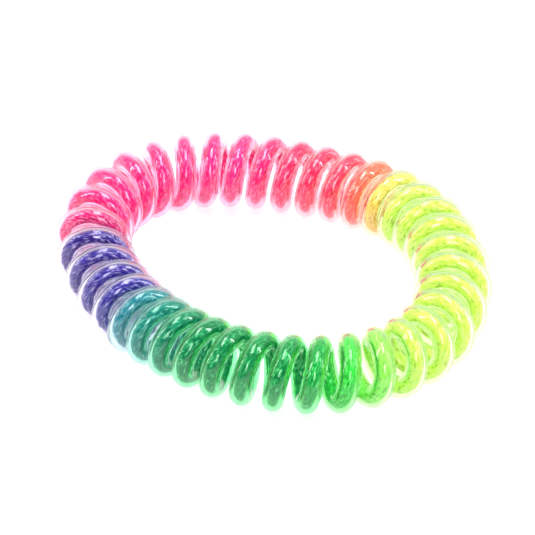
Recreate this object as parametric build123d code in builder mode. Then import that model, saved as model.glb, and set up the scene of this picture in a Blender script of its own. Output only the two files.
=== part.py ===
from build123d import *
import math
import os

# A closed ring of springy coils, such as a coil ring toy or a spiral hair ring. One clear plastic
# tube with a dyed yarn core is wound into a left-handed coil, and the coil is bent round into a
# slightly oval ring whose two tube ends are welded together.
#
# Frame: millimetres, +Z up. The ring lies flat on Z = 0 with its long axis along X. The origin is
# under the middle of its outline.

# Tube and core
TUBE_DIAMETER = 2.75
BORE_DIAMETER = 1.76
CORE_DIAMETER = 1.6

# Coil
TURNS = 37
COIL_DIAMETER = 9.8
FIRST_PHASE = 248.6  # degrees round the coil at the ring's +X side, from outwards towards up

# Plan of the ring: a mean radius, and shares of it that make the ring oval, a little egg-shaped
# and a little square, each with the direction in degrees that it points to
MEAN_RADIUS = 22.24
PLAN_SHAPE = ((2, 0.110, 0.0), (3, 0.027, 72.0), (4, 0.017, -6.7))
CENTRE_X = -0.42
CENTRE_Y = 0.40

# The turns bunch up and spread out: bunches round the ring, size in turns, place in degrees
SPACING = ((1, 0.133, -64.0), (2, 0.221, 12.0), (4, 0.065, 7.0))

# The ring parts into two halves where X is about 0, for the stretch. Places round the ring are in
# degrees from +X. Each length stops a hair short of the next, so that no two faces touch.
FRONT_PARTING = -90.0
BACK_PARTING = 90.0
CLEARANCE = 0.02
LENGTHS_IN_EACH_HALF = 6

# The tube's two ends are melted together in a bead on the left half
WELD_DIAMETER = 3.15
WELD_START = 254.4
WELD_END = 256.2

# Dyed lengths of the core, each with the place where it starts
RIGHT_DYES = (("green", FRONT_PARTING), ("lime", -25.0), ("yellow", -10.0))
LEFT_DYES = (
    ("orange", BACK_PARTING),
    ("coral", 98.0),
    ("pink", 135.0),
    ("violet", 204.0),
    ("teal", 250.5),
)

POINTS_IN_EACH_TURN = 16
STEP_FOR_DIRECTION = 0.01

COIL_RADIUS = (COIL_DIAMETER - TUBE_DIAMETER) / 2
AXIS_HEIGHT = COIL_DIAMETER / 2


def wave(count, place, angle):
    """A wave that comes count times round the ring, highest at place."""
    return math.cos(math.radians(count * (angle - place)))


def ring_point(angle):
    """The ring's own centreline, above the origin at the height of the coil's axis."""
    radius = MEAN_RADIUS * (1 + sum(size * wave(n, place, angle) for n, size, place in PLAN_SHAPE))
    x = radius * math.cos(math.radians(angle)) - CENTRE_X
    y = radius * math.sin(math.radians(angle)) - CENTRE_Y
    return Vector(x, y, AXIS_HEIGHT)


def coil_phase(angle):
    """How far round the coil the tube has turned, in degrees."""
    bunching = sum(size * wave(n, place, angle) for n, size, place in SPACING)
    return FIRST_PHASE + TURNS * angle + 360 * bunching


def tube_point(angle):
    """The middle of the tube, at a place on the ring."""
    along = ring_point(angle + STEP_FOR_DIRECTION) - ring_point(angle - STEP_FOR_DIRECTION)
    outwards = along.cross(Vector(0, 0, 1)).normalized()
    phase = math.radians(coil_phase(angle))
    upwards = Vector(0, 0, COIL_RADIUS * math.sin(phase))
    return ring_point(angle) + outwards * COIL_RADIUS * math.cos(phase) + upwards


def save_length(name, start, end, outer, bore=None):
    """A length of round tube or cord along the coil, from one place on the ring to another."""
    first = start + CLEARANCE
    last = end - CLEARANCE
    steps = math.ceil(abs(coil_phase(last) - coil_phase(first)) / 360 * POINTS_IN_EACH_TURN)
    points = [tube_point(first + (last - first) * step / steps) for step in range(steps + 1)]
    with BuildPart() as length:
        with BuildLine() as path:
            Spline(*points)
        with BuildSketch(Plane(origin=path.line @ 0, z_dir=path.line % 0)):
            Circle(outer / 2)
            if bore:
                Circle(bore / 2, mode=Mode.SUBTRACT)
        sweep(path=path.line)
    length.part.label = name
    export_step(length.part, "parts/" + name + ".step")


def tube_places():
    """Where the clear tube is cut: even lengths round each half, and both sides of the weld."""
    each = (BACK_PARTING - FRONT_PARTING) / LENGTHS_IN_EACH_HALF
    even = [FRONT_PARTING + each * i for i in range(2 * LENGTHS_IN_EACH_HALF + 1)]
    return sorted(even + [WELD_START, WELD_END])


os.makedirs("parts", exist_ok=True)

number = 1
places = tube_places()
for start, end in zip(places, places[1:]):
    if start == WELD_START:
        save_length("weld_bead", start, end, WELD_DIAMETER, BORE_DIAMETER)
    else:
        save_length(f"clear_tube_{number:02d}", start, end, TUBE_DIAMETER, BORE_DIAMETER)
        number += 1

for dyes, half_end in ((RIGHT_DYES, BACK_PARTING), (LEFT_DYES, FRONT_PARTING + 360)):
    ends = [start for _, start in dyes[1:]] + [half_end]
    for (dye, start), end in zip(dyes, ends):
        save_length("core_" + dye, start, end, CORE_DIAMETER)
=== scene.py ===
import math

import bpy
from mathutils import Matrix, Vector


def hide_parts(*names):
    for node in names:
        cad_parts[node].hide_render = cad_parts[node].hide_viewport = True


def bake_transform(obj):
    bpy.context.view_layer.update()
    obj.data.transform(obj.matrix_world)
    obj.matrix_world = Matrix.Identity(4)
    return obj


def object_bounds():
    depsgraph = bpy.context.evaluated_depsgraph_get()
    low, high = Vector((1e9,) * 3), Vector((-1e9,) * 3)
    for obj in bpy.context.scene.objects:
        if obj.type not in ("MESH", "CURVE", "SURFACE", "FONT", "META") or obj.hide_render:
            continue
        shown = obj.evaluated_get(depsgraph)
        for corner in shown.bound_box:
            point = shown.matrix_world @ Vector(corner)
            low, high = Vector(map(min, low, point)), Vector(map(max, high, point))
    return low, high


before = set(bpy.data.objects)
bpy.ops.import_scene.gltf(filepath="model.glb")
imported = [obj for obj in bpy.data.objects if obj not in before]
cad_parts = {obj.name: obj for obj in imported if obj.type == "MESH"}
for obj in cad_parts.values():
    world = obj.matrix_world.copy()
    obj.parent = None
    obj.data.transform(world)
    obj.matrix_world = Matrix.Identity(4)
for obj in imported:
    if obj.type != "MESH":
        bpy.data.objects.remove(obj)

CAD_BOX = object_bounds()
MM = 0.001

# The coil, as the CAD source has it: degrees are places round the ring, from +X towards +Y
TURNS = 37
TUBE_DIAMETER = 2.75 * MM
BORE_DIAMETER = 1.76 * MM
YARN_DIAMETER = 1.60 * MM
COIL_DIAMETER = CAD_BOX[1][2]
MEAN_RADIUS = 22.24 * MM
RING_MIDDLE = Vector((0.42, -0.40, 0.0)) * MM
FIRST_PHASE = 248.6
PLAN_SHAPE = ((2, 0.110, 0.0), (3, 0.027, 72.0), (4, 0.017, -6.7))
SPACING = ((1, 0.133, -64.0), (2, 0.221, 12.0), (4, 0.065, 7.0))

# The weld, where the melted plastic swells the tube
WELD_AT = 255.3
WELD_REACH = 0.95
WELD_SWELL = 0.14
WELD_STEEPNESS = 2.2
WELD_SOFTNESS = 0.4

# The yarn's lumps, and the streaks and folds along which shade and highlights are painted on it: how fast
# they change in a mm along the cord, next to one radius across it, and how fine they are
LUMP_RUN = 1.1
LUMP_FINENESS = 1.6
LUMP_MIDDLE = 0.62
LUMP_SIZE = 0.5 * MM
STREAK_RUN = 0.32
STREAK_FINENESS = 5.0
FOLD_RUN = 0.8
FOLD_FINENESS = 2.2

# How much dye is left in the painted shade between filaments in folds, how white a lit one is made by its
# painted highlight, and the height of any bump
SHADE_IN_GAPS = (0.30, 0.20, 0.26, 1.0)
GLINT_WHITENESS = 0.5
RELIEF = 0.1 * MM

WHITE = (1.0, 1.0, 1.0, 1.0)

# The camera looks down on the ring from its front right
VIEW_TURN = 42.8
VIEW_HEIGHT = 35.0
VIEW_DISTANCE = 0.754
VIEW_WIDTH = 0.0672
AIM_LEFT = 0.00094
SENSOR_WIDTH = 36.0

# How bright the white sweep behind and above the ring is, and the room behind the camera. One fades into the
# other as the cosine of the angle from the camera's side, tilted up by ROOM_TILT, rises through ROOM_EDGE
ROOM_BEHIND = 0.85
ROOM_IN_FRONT = 0.12
ROOM_EDGE = (0.05, 0.62)
ROOM_TILT = 0.35
FLOOR_REACH = 4.0

# Light crosses four surfaces in each strand of clear tube, so it needs many bounces
BOUNCES = 32

# Degrees round from the camera, degrees up, then distance, width and length in metres, and watts
LAMPS = {
    "overhead_soft_box": (0.0, 88.0, 0.60, 0.20, 0.34, 2.0),
    "camera_soft_box": (0.0, 30.0, 0.90, 0.24, 0.36, 2.2),
    "left_strip": (-80.0, 32.0, 0.60, 0.05, 0.50, 1.2),
    "right_strip": (80.0, 32.0, 0.60, 0.05, 0.50, 1.2),
}

# Places round the ring in degrees, the yarn's dye there, and the painted reflection of that dye which
# colours the clear tube, standing in for the yarn's light scattered round inside it
DYES = (
    (0, (0.82, 0.94, 0.42), (0.92, 0.98, 0.80)),
    (83, (0.83, 0.93, 0.42), (0.92, 0.98, 0.80)),
    (88, (0.94, 0.80, 0.44), (0.97, 0.94, 0.82)),
    (93, (1.00, 0.56, 0.36), (1.00, 0.88, 0.82)),
    (99, (0.98, 0.32, 0.34), (1.00, 0.86, 0.84)),
    (106, (0.97, 0.17, 0.36), (1.00, 0.85, 0.87)),
    (126, (0.95, 0.05, 0.38), (1.00, 0.80, 0.87)),
    (142, (0.93, 0.02, 0.48), (1.00, 0.79, 0.90)),
    (202, (0.91, 0.02, 0.46), (1.00, 0.79, 0.90)),
    (207, (0.86, 0.02, 0.46), (1.00, 0.82, 0.90)),
    (210, (0.66, 0.03, 0.40), (0.97, 0.83, 0.90)),
    (212.5, (0.17, 0.06, 0.52), (0.90, 0.86, 0.93)),
    (251, (0.14, 0.09, 0.56), (0.89, 0.88, 0.94)),
    (256, (0.01, 0.50, 0.56), (0.80, 0.91, 0.92)),
    (267, (0.00, 0.50, 0.49), (0.68, 0.92, 0.86)),
    (282, (0.00, 0.46, 0.43), (0.58, 0.93, 0.72)),
    (322, (0.00, 0.51, 0.42), (0.58, 0.95, 0.67)),
    (333, (0.22, 0.74, 0.40), (0.68, 0.97, 0.66)),
    (341, (0.58, 0.88, 0.45), (0.84, 0.98, 0.74)),
    (350, (0.80, 0.94, 0.43), (0.91, 0.98, 0.79)),
)


def linear(colour):
    """A colour as it is seen, in the linear values that materials use."""
    return [c / 12.92 if c <= 0.04045 else ((c + 0.055) / 1.055) ** 2.4 for c in colour] + [1.0]


def connect(tree, value, socket):
    """Feeds a socket from another socket, or sets it to a plain value."""
    if isinstance(value, bpy.types.NodeSocket):
        tree.links.new(value, socket)
    else:
        socket.default_value = value


def add(tree, kind, settings=(), **values):
    """A new node with its settings and its inputs, named by their labels with _ for a space."""
    node = tree.nodes.new(kind)
    for name, value in dict(settings).items():
        setattr(node, name, value)
    for name, value in values.items():
        connect(tree, value, node.inputs[name.replace("_", " ")])
    return node


def sums(tree):
    """A function that adds one math node to the tree and hands back its result."""
    def result(operation, *values):
        node = tree.nodes.new("ShaderNodeMath")
        node.operation = operation
        for socket, value in zip(node.inputs, values):
            connect(tree, value, socket)
        return node.outputs[0]
    return result


def total(result, values):
    """All the values added up."""
    so_far = values[0]
    for value in values[1:]:
        so_far = result("ADD", so_far, value)
    return so_far


def wave(result, kind, count, place, angle, size):
    """size times the sine or cosine of count times the angle from place."""
    turned = result("MULTIPLY", result("SUBTRACT", angle, math.radians(place)), count)
    return result("MULTIPLY", result(kind, turned), size)


def joined(tree, x, y, z):
    """Three values as one vector."""
    return add(tree, "ShaderNodeCombineXYZ", X=x, Y=y, Z=z).outputs[0]


def scaled(tree, vector, size):
    """A vector made longer or shorter."""
    return add(tree, "ShaderNodeVectorMath", {"operation": "SCALE"}, Vector=vector, Scale=size).outputs[0]


def ring_and_outwards(tree, result, angle, mean_radius):
    """The ring's centreline at an angle, and the way outwards across it, as x, y, x, y."""
    radius_shares = [wave(result, "COSINE", n, place, angle, size) for n, size, place in PLAN_SHAPE]
    slope_shares = [wave(result, "SINE", n, place, angle, -n * size) for n, size, place in PLAN_SHAPE]
    radius = result("MULTIPLY", total(result, [1.0] + radius_shares), mean_radius)
    slope = result("MULTIPLY", total(result, slope_shares), mean_radius)
    cosine = result("COSINE", angle)
    sine = result("SINE", angle)
    run_x = result("SUBTRACT", result("MULTIPLY", slope, cosine), result("MULTIPLY", radius, sine))
    run_y = result("ADD", result("MULTIPLY", slope, sine), result("MULTIPLY", radius, cosine))
    run = result("SQRT", result("ADD", result("MULTIPLY", run_x, run_x), result("MULTIPLY", run_y, run_y)))
    return (
        result("MULTIPLY", radius, cosine),
        result("MULTIPLY", radius, sine),
        result("DIVIDE", run_y, run),
        result("DIVIDE", result("MULTIPLY", run_x, -1.0), run),
    )


def coil_place(tree, result, angle, mean_radius, coil_radius, axis_height):
    """The middle of the tube at an angle round the ring."""
    ring_x, ring_y, out_x, out_y = ring_and_outwards(tree, result, angle, mean_radius)
    bunching = [wave(result, "COSINE", n, place, angle, 2 * math.pi * size) for n, size, place in SPACING]
    steady = result("MULTIPLY_ADD", angle, float(TURNS), math.radians(FIRST_PHASE))
    phase = total(result, [steady] + bunching)
    outwards = result("MULTIPLY", result("COSINE", phase), coil_radius)
    upwards = result("MULTIPLY", result("SINE", phase), coil_radius)
    return joined(
        tree,
        result("MULTIPLY_ADD", out_x, outwards, result("ADD", ring_x, RING_MIDDLE.x)),
        result("MULTIPLY_ADD", out_y, outwards, result("ADD", ring_y, RING_MIDDLE.y)),
        result("ADD", upwards, axis_height),
    )


def colour_round_ring(tree, result, angle, which):
    """The yarn's dye (which 1) or its painted reflection in the tube (which 2) at an angle round the ring.
    """
    ramp = tree.nodes.new("ShaderNodeValToRGB")
    share = result("FRACT", result("DIVIDE", angle, 2 * math.pi))
    tree.links.new(share, ramp.inputs[0])
    stops = ramp.color_ramp.elements
    stops.remove(stops[1])
    for i, row in enumerate(DYES + ((360,) + DYES[0][1:],)):
        stop = stops[0] if i == 0 else stops.new(row[0] / 360)
        stop.position = row[0] / 360
        stop.color = linear(row[which])
    return ramp.outputs[0]


def stored(tree, geometry, name, kind, value):
    """The geometry with a value stored on its points."""
    node = add(tree, "GeometryNodeStoreNamedAttribute", {"data_type": kind}, Geometry=geometry, Name=name)
    connect(tree, value, [s for s in node.inputs if s.name == "Value" and s.enabled][0])
    return node.outputs[0]


def coil_path(tree, result, given):
    """The coil as a closed curve that starts at the weld, and each point's share of the way round."""
    points = result("MULTIPLY", given["Points in a turn"], float(TURNS))
    circle = add(tree, "GeometryNodeCurvePrimitiveCircle", Resolution=points)
    share = result("DIVIDE", tree.nodes.new("GeometryNodeInputIndex").outputs[0], points)
    angle = result("MULTIPLY_ADD", share, 2 * math.pi, math.radians(WELD_AT))
    coil_radius = result("MULTIPLY", result("SUBTRACT", given["Coil diameter"], given["Tube diameter"]), 0.5)
    axis_height = result("MULTIPLY", given["Coil diameter"], 0.5)
    place = coil_place(tree, result, angle, given["Mean radius"], coil_radius, axis_height)
    path = add(tree, "GeometryNodeSetPosition", Geometry=circle.outputs[0], Position=place).outputs[0]
    path = stored(tree, path, "dye", "FLOAT_COLOR", colour_round_ring(tree, result, angle, 1))
    path = stored(tree, path, "reflected_dye", "FLOAT_COLOR", colour_round_ring(tree, result, angle, 2))
    length = tree.nodes.new("GeometryNodeSplineParameter").outputs["Length"]
    return stored(tree, path, "along", "FLOAT", length), share


def outline(tree, result, sides, diameter, depth=1.0):
    """A circle to sweep along the coil. It remembers the way round it as a vector one unit long."""
    circle = add(tree, "GeometryNodeCurvePrimitiveCircle", Resolution=sides, Radius=1.0).outputs[0]
    spot = tree.nodes.new("GeometryNodeInputPosition").outputs[0]
    circle = stored(tree, circle, "around", "FLOAT_VECTOR", spot)
    reach = result("MULTIPLY", result("MULTIPLY", diameter, 0.5), depth)
    rim = scaled(tree, spot, reach)
    return add(tree, "GeometryNodeSetPosition", Geometry=circle, Position=rim).outputs[0]


def swept(tree, path, profile, swell=1.0):
    """The skin that a profile leaves when it is carried along a path."""
    skin = tree.nodes.new("GeometryNodeCurveToMesh")
    connect(tree, path, skin.inputs["Curve"])
    connect(tree, profile, skin.inputs["Profile Curve"])
    connect(tree, swell, skin.inputs["Scale"])
    return skin.outputs[0]


def finished(tree, geometry, material, lining=None):
    """The end of a tree: smooth faces, one real mesh and its material, and a bore's own lining."""
    smooth = add(tree, "GeometryNodeSetShadeSmooth", Geometry=geometry).outputs[0]
    skin = add(tree, "GeometryNodeRealizeInstances", Geometry=smooth).outputs[0]
    skin = add(tree, "GeometryNodeSetMaterial", Geometry=skin, Material=material).outputs[0]
    if lining:
        bore = tree.nodes.new("GeometryNodeInputNamedAttribute")
        bore.data_type = "BOOLEAN"
        bore.inputs[0].default_value = "bore"
        chosen = bore.outputs[0]
        lined = add(tree, "GeometryNodeSetMaterial", Geometry=skin, Selection=chosen, Material=lining)
        skin = lined.outputs[0]
    end = tree.nodes.new("NodeGroupOutput")
    tree.links.new(skin, end.inputs[0])


def new_tree(name, sizes):
    """An empty geometry tree with named size inputs, its keys for them and their sockets in the tree."""
    tree = bpy.data.node_groups.new(name, "GeometryNodeTree")
    tree.interface.new_socket(name="Geometry", in_out="OUTPUT", socket_type="NodeSocketGeometry")
    kinds = {int: "NodeSocketInt", float: "NodeSocketFloat"}
    keys = {
        size: tree.interface.new_socket(name=size, in_out="INPUT", socket_type=kinds[type(value)]).identifier
        for size, value in sizes.items()
    }
    return tree, keys, tree.nodes.new("NodeGroupInput").outputs


def tube_tree(sizes, wall, lining):
    """Geometry nodes for the clear tube: a round outside that swells at the weld, and a round bore."""
    tree, keys, given = new_tree("tube_winding", sizes)
    result = sums(tree)
    path, share = coil_path(tree, result, given)
    from_weld = result("MINIMUM", share, result("SUBTRACT", 1.0, share))
    near = result("MAXIMUM", result("SUBTRACT", 1.0, result("DIVIDE", from_weld, WELD_REACH / 360)), 0.0)
    rounded = result("SMOOTH_MIN", result("MULTIPLY", near, WELD_STEEPNESS), 1.0, WELD_SOFTNESS)
    swell = result("MULTIPLY_ADD", rounded, given["Weld swell"], 1.0)
    outside = swept(tree, path, outline(tree, result, given["Sides"], given["Tube diameter"]), swell)
    bore = swept(tree, path, outline(tree, result, given["Bore sides"], given["Bore diameter"]))
    bore = add(tree, "GeometryNodeFlipFaces", Mesh=bore).outputs[0]
    bore = stored(tree, bore, "bore", "BOOLEAN", True)
    both = tree.nodes.new("GeometryNodeJoinGeometry")
    tree.links.new(outside, both.inputs[0])
    tree.links.new(bore, both.inputs[0])
    finished(tree, both.outputs[0], wall, lining)
    return tree, keys


def yarn_tree(sizes, material):
    """Geometry nodes for the yarn: a fluted, twisted cord, lumpy where its filaments bunch."""
    tree, keys, given = new_tree("yarn_winding", sizes)
    result = sums(tree)
    path, share = coil_path(tree, result, given)
    turned = result("MULTIPLY", result("MULTIPLY", share, 2 * math.pi), given["Twists"])
    path = add(tree, "GeometryNodeSetCurveTilt", Curve=path, Tilt=turned).outputs[0]
    position = tree.nodes.new("GeometryNodeInputPosition").outputs[0]
    split = add(tree, "ShaderNodeSeparateXYZ", Vector=position).outputs
    flute = result("COSINE", result("MULTIPLY", result("ARCTAN2", split[1], split[0]), given["Flutes"]))
    depth = result("MULTIPLY_ADD", flute, given["Flute depth"], 1.0)
    cord = swept(tree, path, outline(tree, result, given["Sides"], given["Yarn diameter"], depth))
    around = tree.nodes.new("GeometryNodeInputNamedAttribute")
    around.data_type = "FLOAT_VECTOR"
    around.inputs[0].default_value = "around"
    along = tree.nodes.new("GeometryNodeInputNamedAttribute")
    along.data_type = "FLOAT"
    along.inputs[0].default_value = "along"
    across = add(tree, "ShaderNodeSeparateXYZ", Vector=around.outputs[0]).outputs
    spot = joined(tree, across[0], across[1], result("MULTIPLY", along.outputs[0], LUMP_RUN / MM))
    lumps = add(tree, "ShaderNodeTexNoise", Vector=spot, Scale=LUMP_FINENESS, Detail=2.0).outputs[0]
    push = result("MULTIPLY", result("SUBTRACT", lumps, LUMP_MIDDLE), given["Lump size"])
    offset = scaled(tree, tree.nodes.new("GeometryNodeInputNormal").outputs[0], push)
    cord = add(tree, "GeometryNodeSetPosition", Geometry=cord, Offset=offset).outputs[0]
    finished(tree, cord, material)
    return tree, keys


def made(name, tree, keys, sizes):
    """The shape that a geometry tree gives for these sizes, as a plain mesh at the origin."""
    seed = bpy.data.objects.new(name + "_seed", bpy.data.meshes.new(name + "_seed"))
    bpy.context.scene.collection.objects.link(seed)
    winding = seed.modifiers.new("winding", "NODES")
    winding.node_group = tree
    for size, value in sizes.items():
        winding[keys[size]] = value
    seed.update_tag()
    bpy.context.view_layer.update()
    mesh = bpy.data.meshes.new_from_object(seed.evaluated_get(bpy.context.evaluated_depsgraph_get()))
    mesh.name = name
    bpy.data.objects.remove(seed)
    piece = bpy.data.objects.new(name, mesh)
    bpy.context.scene.collection.objects.link(piece)
    return piece


def shader(name):
    """A new material with its node tree emptied, and its output node."""
    material = bpy.data.materials.new(name)
    material.use_nodes = True
    material.node_tree.nodes.clear()
    return material, material.node_tree, material.node_tree.nodes.new("ShaderNodeOutputMaterial")


def read(tree, name, output):
    """A value that the winding stored on the piece."""
    node = tree.nodes.new("ShaderNodeAttribute")
    node.attribute_name = name
    return node.outputs[output]


def cord_space(tree, result, length_share):
    """Coordinates on the cord as if it were pulled straight: across it in radii, along it in mm."""
    across = add(tree, "ShaderNodeSeparateXYZ", Vector=read(tree, "around", "Vector")).outputs
    along = result("MULTIPLY", read(tree, "along", "Fac"), length_share / MM)
    return joined(tree, across[0], across[1], along)


def mixed(tree, share, first, second, blend="MIX"):
    """Two colours mixed."""
    node = tree.nodes.new("ShaderNodeMix")
    node.data_type = "RGBA"
    node.blend_type = blend
    connect(tree, share, node.inputs[0])
    connect(tree, first, node.inputs[6])
    connect(tree, second, node.inputs[7])
    return node.outputs[2]


def stretched(tree, value, low, high):
    """A value spread so that low becomes 0 and high becomes 1."""
    return add(tree, "ShaderNodeMapRange", Value=value, From_Min=low, From_Max=high).outputs[0]


def dyed_yarn():
    """Silky filaments: fine streaks along the cord, painted shade in the gaps where they fold, painted
    highlights as pale flecks where they catch light, and a faint painted glow of the dye.
    """
    material, tree, output = shader("dyed_yarn")
    result = sums(tree)
    dye = read(tree, "dye", "Color")
    streak_spot = cord_space(tree, result, STREAK_RUN)
    fold_spot = cord_space(tree, result, FOLD_RUN)
    streaks = add(tree, "ShaderNodeTexNoise", Vector=streak_spot, Scale=STREAK_FINENESS, Detail=3.0)
    folds = add(tree, "ShaderNodeTexNoise", Vector=fold_spot, Scale=FOLD_FINENESS, Detail=2.0)
    # Painted shade: the dye darkens in the gaps between filaments where they lie in folds
    shaded_dye = mixed(tree, 1.0, dye, SHADE_IN_GAPS, "MULTIPLY")
    pale = mixed(tree, GLINT_WHITENESS, dye, WHITE)
    gaps = stretched(tree, streaks.outputs[0], 0.60, 0.36)
    shade_share = result("MULTIPLY", gaps, stretched(tree, folds.outputs[0], 0.62, 0.38))
    # Painted highlight: the brightest streaks turn pale, like filaments catching the lamps
    light = stretched(tree, streaks.outputs[0], 0.54, 0.64)
    colour = mixed(tree, light, mixed(tree, shade_share, dye, shaded_dye), pale)
    bump = add(tree, "ShaderNodeBump", Strength=0.9, Distance=RELIEF, Height=streaks.outputs[0])
    relief = bump.outputs[0]
    # A faint painted glow: the yarn gives off its dye's colour, as if the fluorescent dye shone by itself
    silk = add(tree, "ShaderNodeBsdfPrincipled", Base_Color=colour, Normal=relief, Emission_Color=dye)
    silk.inputs["Roughness"].default_value = 0.32
    silk.inputs["Specular IOR Level"].default_value = 0.4
    silk.inputs["Emission Strength"].default_value = 0.22
    tree.links.new(silk.outputs[0], output.inputs[0])
    return material


def clear_plastic(name, ripple_share, ripple_scale, strength):
    """Soft clear plastic coloured by a painted reflection of the dye next to it, which lets the lamps reach
    the yarn.
    """
    material, tree, output = shader(name)
    result = sums(tree)
    spot = cord_space(tree, result, ripple_share)
    ripple = add(tree, "ShaderNodeTexNoise", Vector=spot, Scale=ripple_scale, Detail=2.0)
    bump = add(tree, "ShaderNodeBump", Strength=strength, Distance=RELIEF, Height=ripple.outputs["Fac"])
    # Painted reflection: the yarn's colour is painted into the clear plastic, standing in for light the yarn
    # scatters round inside the tube
    reflected_dye = read(tree, "reflected_dye", "Color")
    clear = add(tree, "ShaderNodeBsdfPrincipled", Base_Color=reflected_dye, Normal=bump.outputs[0])
    clear.inputs["Transmission Weight"].default_value = 1.0
    clear.inputs["Roughness"].default_value = 0.0
    clear.inputs["IOR"].default_value = 1.49
    passing = add(tree, "ShaderNodeBsdfTransparent", Color=mixed(tree, 0.25, WHITE, reflected_dye))
    rays = tree.nodes.new("ShaderNodeLightPath")
    either = tree.nodes.new("ShaderNodeMixShader")
    tree.links.new(rays.outputs["Is Shadow Ray"], either.inputs[0])
    tree.links.new(clear.outputs[0], either.inputs[1])
    tree.links.new(passing.outputs[0], either.inputs[2])
    tree.links.new(either.outputs[0], output.inputs[0])
    return material


def pale_floor():
    """A pale light table: it glows a little, so the ring throws hardly any shadow."""
    material, tree, output = shader("pale_floor")
    matt = add(tree, "ShaderNodeBsdfPrincipled", Base_Color=(0.6, 0.6, 0.6, 1.0))
    matt.inputs["Roughness"].default_value = 0.9
    matt.inputs["Emission Color"].default_value = WHITE
    matt.inputs["Emission Strength"].default_value = 0.7
    tree.links.new(matt.outputs[0], output.inputs[0])
    mesh = bpy.data.meshes.new("floor")
    corners = [(x * FLOOR_REACH, y * FLOOR_REACH, 0.0) for x, y in ((-1, -1), (1, -1), (1, 1), (-1, 1))]
    mesh.from_pydata(corners, [], [(0, 1, 2, 3)])
    mesh.materials.append(material)
    floor = bpy.data.objects.new("floor", mesh)
    bpy.context.scene.collection.objects.link(floor)


def view_directions():
    """The camera's right, and the way from the ring towards it."""
    turn = math.radians(VIEW_TURN)
    height = math.radians(VIEW_HEIGHT)
    right = Vector((math.cos(turn), math.sin(turn), 0.0))
    front = Vector((math.sin(turn), -math.cos(turn), 0.0))
    return right, front * math.cos(height) + Vector((0.0, 0.0, math.sin(height)))


def camera():
    """The camera, aimed just left of the ring's middle at half its height."""
    right, towards = view_directions()
    aim = RING_MIDDLE + Vector((0.0, 0.0, COIL_DIAMETER / 2)) - right * AIM_LEFT
    lens = bpy.data.cameras.new("camera")
    lens.sensor_width = SENSOR_WIDTH
    lens.lens = SENSOR_WIDTH * VIEW_DISTANCE / VIEW_WIDTH
    lens.clip_start = 0.01
    viewer = bpy.data.objects.new("camera", lens)
    viewer.location = aim + towards * VIEW_DISTANCE
    viewer.rotation_euler = (-towards).to_track_quat("-Z", "Y").to_euler()
    bpy.context.scene.collection.objects.link(viewer)
    bpy.context.scene.camera = viewer


def soft_box(name, side, height, distance, width, length, watts):
    """A lamp that faces the ring, side degrees round from the camera and height degrees up."""
    right, _ = view_directions()
    front = Vector((right.y, -right.x, 0.0))
    turned = math.radians(side)
    level = front * math.cos(turned) + right * math.sin(turned)
    way = level * math.cos(math.radians(height)) + Vector((0.0, 0.0, math.sin(math.radians(height))))
    light = bpy.data.lights.new(name, "AREA")
    light.shape = "RECTANGLE"
    light.size = width
    light.size_y = length
    light.energy = watts
    lamp = bpy.data.objects.new(name, light)
    lamp.location = way * distance
    lamp.rotation_euler = way.to_track_quat("Z", "Y").to_euler()
    bpy.context.scene.collection.objects.link(lamp)


def studio():
    """A white sweep that darkens towards the room behind the camera, four lamps and a pale floor."""
    scene = bpy.context.scene
    world = bpy.data.worlds.new("studio")
    world.use_nodes = True
    tree = world.node_tree
    way = tree.nodes.new("ShaderNodeTexCoord").outputs["Generated"]
    front = view_directions()[1].copy()
    front.z = ROOM_TILT
    facing = add(tree, "ShaderNodeVectorMath", {"operation": "DOT_PRODUCT"})
    tree.links.new(way, facing.inputs[0])
    facing.inputs[1].default_value = front.normalized()
    smooth = {"interpolation_type": "SMOOTHSTEP"}
    bright = add(tree, "ShaderNodeMapRange", smooth, Value=facing.outputs["Value"])
    for socket, value in zip(list(bright.inputs)[1:5], (*ROOM_EDGE, ROOM_BEHIND, ROOM_IN_FRONT)):
        socket.default_value = value
    tree.nodes["Background"].inputs["Color"].default_value = WHITE
    tree.links.new(bright.outputs[0], tree.nodes["Background"].inputs["Strength"])
    scene.world = world
    for name, settings in LAMPS.items():
        soft_box(name, *settings)
    scene.view_settings.view_transform = "Standard"
    scene.cycles.max_bounces = BOUNCES
    scene.cycles.glossy_bounces = BOUNCES
    scene.cycles.transmission_bounces = BOUNCES
    scene.cycles.transparent_max_bounces = BOUNCES
    pale_floor()


def ring():
    """The whole ring, each piece running through both halves and stretching between them."""
    coil_sizes = {"Mean radius": MEAN_RADIUS, "Coil diameter": COIL_DIAMETER, "Tube diameter": TUBE_DIAMETER}
    tube_sizes = {
        **coil_sizes, "Points in a turn": 40, "Sides": 28, "Bore sides": 20, "Bore diameter": BORE_DIAMETER,
        "Weld swell": WELD_SWELL,
    }
    yarn_sizes = {
        **coil_sizes, "Points in a turn": 60, "Sides": 28, "Yarn diameter": YARN_DIAMETER, "Flutes": 7,
        "Flute depth": 0.03, "Twists": 40, "Lump size": LUMP_SIZE,
    }
    wall = clear_plastic("clear_plastic", 1.0, 1.3, 0.08)
    lining = clear_plastic("bore_wall", 0.4, 5.0, 0.18)
    tube = made("clear_tube", *tube_tree(tube_sizes, wall, lining), tube_sizes)
    yarn = made("yarn_core", *yarn_tree(yarn_sizes, dyed_yarn()), yarn_sizes)
    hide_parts(*[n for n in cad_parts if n.startswith("clear_tube") or n == "weld_bead"])
    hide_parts(*[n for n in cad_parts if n.startswith("core_")])
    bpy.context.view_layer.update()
    for piece in (tube, yarn):
        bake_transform(piece)


camera()
studio()
ring()
